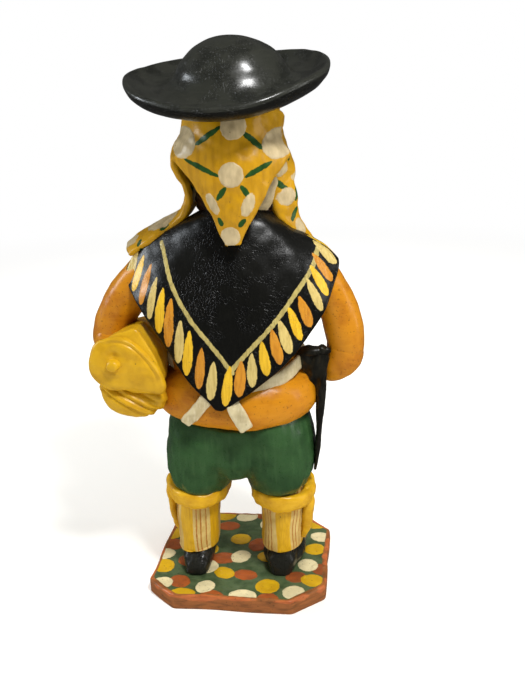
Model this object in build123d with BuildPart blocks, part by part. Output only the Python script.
"""Painted clay figurine of a harvest worker in a broad hat, modelled as the separate lumps of clay
that the maker joins: base, feet, legs, clothes, arms, head, hat, and the things the figure carries.

Millimetres. +Z is up, the origin is the centre of the base's underside, and the figure faces -Y.
"""

from build123d import *
import os

os.makedirs("parts", exist_ok=True)

# Base slab
base_width = 72.0
base_depth = 70.0
base_thickness = 6.0
base_corner_cut = 12.0
base_edge_round = 1.4
peg_radius = 3.5
peg_depth = 3.0

# Heights of the joints between the lumps, from the floor up
shoe_top = 15.0
cuff_bottom = 37.0
cuff_top = 43.5
waist = 73.0
peplum_top = 91.0
shoulder_height = 150.0
shawl_tip = 84.0
shawl_top = 157.0

# Places in plan
leg_x = 17.0
leg_y = 4.0
body_y = 4.0
torso_core_radius = 11.0
neck_radius = 7.5
neck_y = 3.0
head_x = -2.0

# Hat
hat_centre = (-0.6, 3.0, 199.5)
hat_pitch = -15.0
hat_roll = 2.5
hat_rim_radius = 38.6
hat_crown_radius = 18.0
hat_crown_height = 17.0
hat_thickness = 3.6

# Arms
sleeve_radius = 8.0
wrist_radius = 5.0


def loft_ellipses(sections, mode=Mode.ADD):
    """Loft upward through ellipses given as (height, centre x, centre y, half width, half depth)."""
    profiles = []
    for height, centre_x, centre_y, half_width, half_depth in sections:
        with BuildSketch(Plane.XY.offset(height)) as profile:
            with Locations((centre_x, centre_y)):
                Ellipse(half_width, half_depth)
        profiles.append(profile.sketch)
    loft(profiles, mode=mode)


def loft_limb(sections, mode=Mode.ADD):
    """Loft along a limb through discs given as (centre, direction, radius)."""
    profiles = []
    for centre, direction, radius in sections:
        with BuildSketch(Plane(origin=centre, z_dir=direction)) as profile:
            Circle(radius)
        profiles.append(profile.sketch)
    loft(profiles, mode=mode)


def loft_slabs(sections, mode=Mode.ADD):
    """Loft upward through rounded rectangles given as (height, x, y, width, depth)."""
    profiles = []
    for height, centre_x, centre_y, width, depth in sections:
        with BuildSketch(Plane.XY.offset(height)) as profile:
            with Locations((centre_x, centre_y)):
                RectangleRounded(width, depth, 0.4 * min(width, depth))
        profiles.append(profile.sketch)
    loft(profiles, mode=mode)


def outline_prism(points, y_from, y_to, mode):
    """Extrude an outline drawn in X and Z from one depth to another."""
    with BuildSketch(Plane.XZ.offset(-y_from)) as outline:
        with BuildLine():
            Polyline(*points, close=True)
        make_face()
    return extrude(outline.sketch, amount=y_from - y_to, mode=mode)


def save(piece, name):
    """Label a finished piece and write it."""
    piece.part.label = name
    export_step(piece.part, f"parts/{name}.step")


SIDES = {"left": 1.0, "right": -1.0}

# Legs: a stack for each side. Each leg stands on a shoe and runs up into the breeches.
leggings = {}
shoes = {}
cuffs = {}
for side, sign in SIDES.items():
    with BuildPart() as legging:
        loft_ellipses(
            [
                (11.0, sign * (leg_x - 0.4), leg_y, 8.0, 10.5),
                (21.0, sign * leg_x, leg_y, 9.1, 11.8),
                (33.0, sign * (leg_x + 0.6), leg_y, 10.2, 12.6),
                (50.0, sign * leg_x, leg_y, 9.0, 10.5),
            ]
        )
    leggings[side] = legging

    with BuildPart() as shoe:
        sole_turn = 10.0 * sign
        for height, half_width, half_length, centre_y in [
            (base_thickness, 7.4, 19.0, 0.6),
            (base_thickness + 4.0, 8.4, 19.8, 0.4),
            (shoe_top, 7.6, 14.5, 3.4),
        ]:
            with BuildSketch(Plane.XY.offset(height)):
                with Locations(Location((sign * leg_x, centre_y, 0), (0, 0, sole_turn))):
                    Ellipse(half_width, half_length)
        loft()
        with BuildSketch(Plane.XY.offset(base_thickness - peg_depth)):
            with Locations((sign * leg_x, leg_y)):
                Circle(peg_radius)
        extrude(amount=peg_depth + 1.0)
        add(legging.part, mode=Mode.SUBTRACT)
    shoes[side] = shoe

    with BuildPart() as cuff:
        loft_ellipses(
            [
                (cuff_bottom, sign * leg_x, leg_y, 12.2, 14.6),
                (cuff_bottom + 2.0, sign * (leg_x + 0.2), leg_y, 14.0, 16.2),
                (cuff_top - 2.0, sign * (leg_x + 0.2), leg_y, 14.2, 16.4),
                (cuff_top, sign * leg_x, leg_y, 12.6, 15.0),
            ]
        )
        add(legging.part, mode=Mode.SUBTRACT)
    cuffs[side] = cuff

    with BuildPart() as garter:
        loft_slabs(
            [
                (19.5, sign * (leg_x + 9.0), leg_y + 2.0, 3.0, 4.0),
                (30.0, sign * (leg_x + 10.8), leg_y + 2.0, 3.4, 7.0),
                (cuff_bottom, sign * (leg_x + 11.4), leg_y + 2.0, 3.6, 8.0),
            ]
        )
        add(legging.part, mode=Mode.SUBTRACT)
    save(legging, f"{side}_legging")
    save(shoe, f"{side}_shoe")
    save(cuff, f"{side}_cuff")
    save(garter, f"{side}_garter_ribbon")

with BuildPart() as base_slab:
    with BuildSketch(Plane.XY):
        base_outline = Rectangle(base_width, base_depth)
        chamfer(base_outline.vertices(), length=base_corner_cut)
    extrude(amount=base_thickness)
    fillet(base_slab.faces().sort_by(Axis.Z)[-1].edges(), radius=base_edge_round)
    with BuildSketch(Plane.XY.offset(base_thickness)):
        with Locations((leg_x, leg_y), (-leg_x, leg_y)):
            Circle(peg_radius)
    extrude(amount=-peg_depth, mode=Mode.SUBTRACT)
save(base_slab, "base_slab")

# Trunk: breeches, jacket skirt and torso, keyed together by the torso's core.
with BuildPart() as torso:
    loft_ellipses(
        [
            (peplum_top, 0.0, body_y, 25.0, 18.5),
            (106.0, 0.0, body_y, 25.2, 18.0),
            (122.0, 0.0, body_y - 0.5, 26.0, 17.0),
            (136.0, 0.0, neck_y, 23.0, 14.5),
            (145.0, -1.0, neck_y, 14.0, 11.0),
            (shoulder_height, -1.5, neck_y, 9.5, 9.5),
        ]
    )
    with BuildSketch(Plane.XY.offset(waist - 7.0)):
        with Locations((0.0, body_y)):
            Circle(torso_core_radius)
    extrude(amount=peplum_top - waist + 8.0)

with BuildPart() as jacket_peplum:
    loft_ellipses(
        [
            (waist, 0.0, body_y, 27.5, 20.5),
            (waist + 3.0, -0.5, body_y, 31.4, 23.0),
            (waist + 9.0, -0.5, body_y, 30.6, 22.6),
            (peplum_top, -0.5, body_y, 26.0, 19.0),
        ]
    )
    add(torso.part, mode=Mode.SUBTRACT)
save(jacket_peplum, "jacket_peplum")

with BuildPart() as breeches:
    for sign in SIDES.values():
        loft_ellipses(
            [
                (cuff_top, sign * 16.4, body_y, 13.0, 15.2),
                (cuff_top + 4.0, sign * 15.6, body_y, 14.6, 17.4),
                (57.0, sign * 15.0, body_y - 1.0, 16.4, 19.2),
                (66.0, sign * 13.0, body_y - 1.0, 16.2, 19.6),
                (waist, sign * 10.5, body_y - 0.6, 16.0, 19.2),
            ]
        )
    add(torso.part, mode=Mode.SUBTRACT)
    for legging in leggings.values():
        add(legging.part, mode=Mode.SUBTRACT)
save(breeches, "breeches")

# Arms. The left one reaches round the bundle, and the right one is bent with the hand at the hip.
left_elbow = (49.5, 0.0, 103.0)
left_elbow_direction = (0.2, -0.75, -0.65)
with BuildPart() as left_sleeve_upper:
    loft_limb(
        [
            ((19.0, 3.0, 137.0), (1.0, 0.0, -0.5), 7.5),
            ((33.0, 3.0, 129.5), (1.0, 0.0, -0.8), sleeve_radius + 0.4),
            ((43.5, 2.5, 117.5), (0.5, -0.1, -1.0), sleeve_radius),
            (left_elbow, left_elbow_direction, sleeve_radius),
        ]
    )

left_wrist = (40.0, -25.0, 93.0)
left_wrist_direction = (-0.65, -0.75, -0.1)
with BuildPart() as left_forearm:
    loft_limb(
        [
            (left_elbow, left_elbow_direction, sleeve_radius),
            ((48.5, -13.0, 95.0), (-0.25, -1.0, -0.3), sleeve_radius - 1.0),
            (left_wrist, left_wrist_direction, wrist_radius),
        ]
    )

right_elbow = (-43.0, 3.0, 100.5)
right_elbow_direction = (0.35, -0.1, -1.0)
with BuildPart() as right_sleeve_upper:
    loft_limb(
        [
            ((-19.0, 3.0, 137.0), (-1.0, 0.0, -0.5), 7.5),
            ((-32.0, 3.0, 128.5), (-1.0, 0.0, -0.9), sleeve_radius + 0.2),
            ((-41.0, 3.0, 115.0), (-0.3, 0.0, -1.0), 7.6),
            (right_elbow, right_elbow_direction, 7.2),
        ]
    )

right_wrist = (-34.0, -5.0, 90.0)
right_wrist_direction = (0.7, -0.9, -0.1)
with BuildPart() as right_forearm:
    loft_limb(
        [
            (right_elbow, right_elbow_direction, 7.2),
            ((-40.0, 0.5, 93.0), (0.6, -0.5, -0.45), 6.4),
            (right_wrist, right_wrist_direction, wrist_radius - 0.2),
        ]
    )

# The bundle carried under the left arm: a roll whose end shows behind as a disc with a knob.
with BuildPart() as bundle_body:
    for centre, half_width, half_height in [
        ((41.0, 24.5, 100.5), 11.0, 11.0),
        ((39.5, 20.0, 100.0), 13.0, 12.5),
        ((37.5, 6.0, 99.0), 12.0, 13.0),
        ((35.5, -12.0, 97.5), 10.5, 11.5),
        ((35.0, -22.0, 96.5), 8.0, 8.5),
    ]:
        with BuildSketch(Plane(origin=centre, x_dir=(1, 0, 0), z_dir=(0, -1, 0))):
            Ellipse(half_width, half_height)
    loft()
    add(torso.part, mode=Mode.SUBTRACT)
    add(jacket_peplum.part, mode=Mode.SUBTRACT)
    add(left_sleeve_upper.part, mode=Mode.SUBTRACT)
    add(left_forearm.part, mode=Mode.SUBTRACT)

with BuildPart() as bundle_fold:
    loft_slabs(
        [
            (78.0, 35.0, 19.0, 14.0, 7.0),
            (84.0, 35.5, 18.5, 24.0, 11.0),
            (93.0, 36.5, 18.0, 26.0, 12.0),
        ]
    )
    add(bundle_body.part, mode=Mode.SUBTRACT)
    add(jacket_peplum.part, mode=Mode.SUBTRACT)
    add(torso.part, mode=Mode.SUBTRACT)

disc_thickness = 3.5
disc_plane = Plane(origin=(41.0, 24.5, 100.5), x_dir=(-1, 0, 0), z_dir=(0, 1, 0))
with BuildPart() as bundle_end_disc:
    with BuildSketch(disc_plane):
        Circle(11.0)
    extrude(amount=disc_thickness)
    fillet(bundle_end_disc.faces().sort_by(Axis.Y)[-1].edges(), radius=1.6)

with BuildPart() as bundle_knob:
    with BuildSketch(disc_plane.offset(disc_thickness)):
        Circle(2.6)
    extrude(amount=2.0)
    fillet(bundle_knob.faces().sort_by(Axis.Y)[-1].edges(), radius=1.2)

# Apron: a band round the waist, a panel in front, and the two tied ends behind.
with BuildPart() as apron_waistband:
    loft_ellipses(
        [
            (peplum_top, 0.0, body_y, 26.4, 19.9),
            (peplum_top + 3.5, 0.0, body_y, 27.2, 20.4),
            (peplum_top + 7.0, 0.0, body_y, 26.6, 19.6),
        ]
    )
    add(torso.part, mode=Mode.SUBTRACT)
    add(bundle_body.part, mode=Mode.SUBTRACT)
    add(bundle_fold.part, mode=Mode.SUBTRACT)

with BuildPart() as apron_panel:
    loft_ellipses(
        [
            (52.0, 0.0, 3.0, 33.0, 22.5),
            (66.0, 0.0, 3.0, 33.5, 24.0),
            (80.0, 0.0, 3.5, 34.5, 25.4),
            (97.0, 0.0, 3.5, 29.5, 22.6),
        ]
    )
    apron_outline = [(-15.0, 97.5), (15.0, 97.5), (18.5, 54.0), (15.5, 51.5), (-15.5, 51.5), (-18.5, 54.0)]
    outline_prism(apron_outline, -6.0, -40.0, Mode.INTERSECT)
    add(breeches.part, mode=Mode.SUBTRACT)
    add(jacket_peplum.part, mode=Mode.SUBTRACT)
    add(torso.part, mode=Mode.SUBTRACT)
    add(apron_waistband.part, mode=Mode.SUBTRACT)

apron_ties = {}
tie_routes = {
    "left": [(75.5, 14.4, 26.2, 4.6, 4.0), (82.0, 12.6, 26.2, 4.4, 4.0), (89.5, 10.4, 24.4, 4.2, 4.0)],
    "right": [(75.0, -6.0, 26.8, 6.0, 4.0), (81.0, -4.0, 26.8, 6.0, 4.0), (89.5, -1.6, 24.6, 5.0, 4.0)],
}
for side, route in tie_routes.items():
    with BuildPart() as apron_tie:
        loft_slabs(route)
        add(jacket_peplum.part, mode=Mode.SUBTRACT)
        add(torso.part, mode=Mode.SUBTRACT)
    apron_ties[side] = apron_tie

# Head, hair and scarf. The neck is a plug that goes down into the torso.
with BuildPart() as head:
    loft_ellipses(
        [
            (152.5, head_x, 0.5, 7.0, 8.5),
            (158.0, head_x, -0.5, 11.5, 14.0),
            (168.0, head_x, 0.0, 15.0, 17.0),
            (180.0, head_x, 1.0, 15.4, 17.4),
            (190.0, head_x, 1.5, 12.0, 14.0),
            (195.0, head_x, 2.0, 6.5, 7.5),
        ]
    )
    with BuildSketch(Plane.XY.offset(shoulder_height - 12.0)):
        with Locations((head_x + 0.5, neck_y)):
            Circle(neck_radius)
    extrude(amount=20.0)
    with BuildSketch(Plane.XY.offset(167.5)):
        with Locations((head_x, -15.4)):
            Ellipse(2.6, 4.2)
    with BuildSketch(Plane.XY.offset(176.5)):
        with Locations((head_x, -14.6)):
            Ellipse(1.2, 2.0)
    loft()
save(head, "head")

with BuildPart() as torso_with_sockets:
    add(torso.part)
    add(head.part, mode=Mode.SUBTRACT)
    add(left_sleeve_upper.part, mode=Mode.SUBTRACT)
    add(right_sleeve_upper.part, mode=Mode.SUBTRACT)
save(torso_with_sockets, "torso")

with BuildPart() as hair:
    loft_ellipses(
        [
            (157.0, head_x, 3.5, 13.0, 15.5),
            (168.0, head_x, 2.0, 17.0, 18.4),
            (180.0, head_x, 2.0, 17.4, 19.0),
            (191.0, head_x, 2.0, 14.2, 16.2),
        ]
    )
    with BuildSketch(Plane.XZ.offset(4.0)):
        with Locations((head_x, 167.0)):
            Ellipse(12.2, 13.5)
    extrude(amount=30.0, mode=Mode.SUBTRACT)
    with BuildSketch(Plane.XY.offset(156.0)):
        with Locations((head_x, -20.0)):
            Rectangle(60.0, 40.0)
    extrude(amount=8.0, mode=Mode.SUBTRACT)
    add(head.part, mode=Mode.SUBTRACT)
save(hair, "hair")

with BuildPart() as headscarf:
    loft_ellipses(
        [
            (159.0, head_x, 3.0, 17.6, 18.6),
            (168.0, head_x, 3.0, 20.8, 20.6),
            (177.0, head_x, 3.0, 22.4, 21.4),
            (186.0, head_x - 1.0, 3.0, 20.4, 20.4),
            (196.0, head_x - 1.0, 3.0, 17.0, 17.6),
        ]
    )
    with BuildSketch(Plane.XZ.offset(3.0)):
        with Locations((head_x, 169.0)):
            Ellipse(14.6, 17.5)
    extrude(amount=40.0, mode=Mode.SUBTRACT)
    with BuildSketch(Plane.XY.offset(150.0)):
        with Locations((head_x, -17.0)):
            Rectangle(60.0, 40.0)
    extrude(amount=19.0, mode=Mode.SUBTRACT)
    loft_slabs(
        [
            (144.5, head_x - 1.8, 28.0, 7.0, 4.5),
            (160.0, head_x - 1.0, 24.6, 22.0, 6.0),
            (176.0, head_x, 20.0, 34.0, 7.0),
        ]
    )
    add(head.part, mode=Mode.SUBTRACT)
    add(hair.part, mode=Mode.SUBTRACT)
save(headscarf, "headscarf")

# Hat: a crown that flows into a saucer brim, tipped back on the head.
hat_plane = Plane(origin=hat_centre).rotated((hat_pitch, hat_roll, 0))
with BuildPart() as hat:
    with BuildSketch(Plane(origin=hat_plane.origin, x_dir=hat_plane.x_dir, z_dir=-hat_plane.y_dir)):
        with BuildLine():
            crown_top = Line((0.0, hat_crown_height), (5.0, hat_crown_height - 0.3))
            crown_side = Spline(
                crown_top @ 1,
                (0.78 * hat_crown_radius, hat_crown_height - 4.2),
                (hat_crown_radius, 0.45 * hat_crown_height),
                (0.68 * hat_rim_radius, 1.6),
                (hat_rim_radius - 2.0, 4.6),
            )
            rim = ThreePointArc(
                crown_side @ 1, (hat_rim_radius, 3.2), (hat_rim_radius - 1.6, 1.2)
            )
            underside = Spline(rim @ 1, (28.0, 0.4 - hat_thickness), (20.0, -hat_thickness))
            Polyline(underside @ 1, (0.0, -hat_thickness), (0.0, hat_crown_height))
        make_face()
    revolve(axis=Axis(hat_plane.origin, hat_plane.z_dir))
    add(headscarf.part, mode=Mode.SUBTRACT)
    add(head.part, mode=Mode.SUBTRACT)
    add(hair.part, mode=Mode.SUBTRACT)
save(hat, "hat")

# Scarf ends, hanging from the sides of the head to the shoulders.
scarf_ends = {}
scarf_end_routes = {
    "left": [
        ((41.0, 0.0, 136.5), (1.0, 0.1, -0.6), 7.0, 4.0),
        ((26.0, -2.0, 147.5), (1.0, 0.1, -0.9), 9.0, 4.0),
        ((18.5, -3.0, 161.0), (0.2, 0.0, -1.0), 8.0, 4.0),
        ((18.8, -3.5, 174.0), (0.0, 0.0, -1.0), 7.0, 3.4),
    ],
    "right": [
        ((-30.0, -3.0, 140.0), (-0.5, -0.1, -1.0), 8.0, 4.4),
        ((-24.6, -3.5, 152.0), (-0.4, 0.0, -1.0), 9.0, 5.4),
        ((-22.0, -3.5, 164.0), (-0.05, 0.0, -1.0), 8.0, 4.6),
        ((-22.4, -3.5, 174.0), (0.0, 0.0, -1.0), 7.0, 3.4),
    ],
}
for side, route in scarf_end_routes.items():
    with BuildPart() as scarf_end:
        for centre, direction, breadth, thickness in route:
            with BuildSketch(Plane(origin=centre, x_dir=(0, 1, 0), z_dir=direction)):
                RectangleRounded(breadth, thickness, 0.4 * thickness)
        loft()
        for piece in [headscarf, head, hair, torso, left_sleeve_upper, right_sleeve_upper]:
            add(piece.part, mode=Mode.SUBTRACT)
    scarf_ends[side] = scarf_end

# Shawl: one thin sheet over the shoulders, down to a point behind and a shorter point in front.
shawl_back = [
    (-40.0, 134.5),
    (-44.0, 160.0),
    (44.0, 160.0),
    (40.6, 132.0),
    (29.8, 115.0),
    (15.6, 96.0),
    (5.0, shawl_tip),
    (1.0, shawl_tip),
    (-20.1, 100.0),
    (-33.6, 115.5),
]
shawl_front = [
    (-39.0, 134.5),
    (-44.0, 160.0),
    (44.0, 160.0),
    (39.6, 132.0),
    (24.0, 117.0),
    (4.0, 106.0),
    (-4.0, 106.0),
    (-24.0, 117.0),
]
split_y = body_y - 1.0
with BuildPart() as shawl:
    loft_ellipses(
        [
            (shawl_tip, 0.0, body_y, 34.0, 26.5),
            (100.0, 0.0, body_y, 33.0, 24.0),
            (114.0, 0.0, body_y, 34.5, 22.6),
            (126.0, 0.0, body_y, 38.5, 21.4),
            (134.0, -0.5, body_y, 40.4, 20.0),
            (143.0, -1.5, neck_y + 0.5, 29.0, 16.5),
            (150.0, -2.0, neck_y, 18.0, 13.5),
            (shawl_top, -2.0, neck_y, 10.5, 10.5),
        ]
    )
    back_prism = outline_prism(shawl_back, split_y, 60.0, Mode.PRIVATE)
    front_prism = outline_prism(shawl_front, split_y, -60.0, Mode.PRIVATE)
    add(back_prism + front_prism, mode=Mode.INTERSECT)
    for piece in [torso, head, headscarf, left_sleeve_upper, right_sleeve_upper, apron_waistband]:
        add(piece.part, mode=Mode.SUBTRACT)
    for piece in [bundle_body, bundle_fold, bundle_end_disc, jacket_peplum, left_forearm, right_forearm]:
        add(piece.part, mode=Mode.SUBTRACT)
    for piece in [*scarf_ends.values(), *apron_ties.values()]:
        add(piece.part, mode=Mode.SUBTRACT)
save(shawl, "shawl")

for side, scarf_end in scarf_ends.items():
    save(scarf_end, f"{side}_scarf_end")

for side, apron_tie in apron_ties.items():
    save(apron_tie, f"apron_tie_{side}")

# Sickle: a black handle against the hip and a blade that hangs along the thigh.
with BuildPart() as sickle_handle:
    loft_slabs(
        [
            (85.5, -32.6, 6.0, 5.6, 6.0),
            (92.0, -31.6, 6.0, 7.6, 7.0),
            (100.5, -30.4, 7.0, 11.0, 8.0),
        ]
    )
    add(right_forearm.part, mode=Mode.SUBTRACT)
    add(jacket_peplum.part, mode=Mode.SUBTRACT)
    add(torso.part, mode=Mode.SUBTRACT)
    add(apron_waistband.part, mode=Mode.SUBTRACT)
    add(shawl.part, mode=Mode.SUBTRACT)

blade_thickness = 2.4
blade_x = -34.0
with BuildPart() as sickle_blade:
    with BuildSketch(Plane.YZ.offset(blade_x)):
        with BuildLine():
            heel = Line((3.0, 85.5), (9.0, 85.5))
            back = ThreePointArc(heel @ 1, (11.5, 67.0), (2.0, 48.5))
            ThreePointArc(back @ 1, (6.5, 66.0), heel @ 0)
        make_face()
    extrude(amount=blade_thickness / 2, both=True)
    add(jacket_peplum.part, mode=Mode.SUBTRACT)
    add(breeches.part, mode=Mode.SUBTRACT)
    add(sickle_handle.part, mode=Mode.SUBTRACT)
save(sickle_blade, "sickle_blade")

# Hands
with BuildPart() as right_hand:
    loft_limb(
        [
            (right_wrist, right_wrist_direction, wrist_radius - 0.2),
            ((-31.0, -8.5, 89.5), (0.6, -1.0, -0.1), 5.4),
            ((-27.0, -14.0, 88.5), (0.7, -1.0, -0.1), 3.0),
        ]
    )
    add(jacket_peplum.part, mode=Mode.SUBTRACT)
    add(torso.part, mode=Mode.SUBTRACT)
    add(apron_waistband.part, mode=Mode.SUBTRACT)
    add(sickle_handle.part, mode=Mode.SUBTRACT)
    add(apron_panel.part, mode=Mode.SUBTRACT)

with BuildPart() as left_hand:
    loft_limb(
        [
            (left_wrist, left_wrist_direction, wrist_radius),
            ((35.5, -28.5, 92.5), (-0.9, -0.5, 0.0), 5.6),
            ((28.0, -29.0, 93.0), (-1.0, 0.1, 0.1), 3.4),
        ]
    )
    add(bundle_body.part, mode=Mode.SUBTRACT)

save(left_sleeve_upper, "left_sleeve_upper")
save(left_forearm, "left_forearm")
save(left_hand, "left_hand")
save(right_sleeve_upper, "right_sleeve_upper")
save(right_forearm, "right_forearm")
save(right_hand, "right_hand")
save(sickle_handle, "sickle_handle")
save(bundle_body, "bundle_body")
save(bundle_fold, "bundle_fold")
save(bundle_end_disc, "bundle_end_disc")
save(bundle_knob, "bundle_knob")
save(apron_waistband, "apron_waistband")
save(apron_panel, "apron_panel")
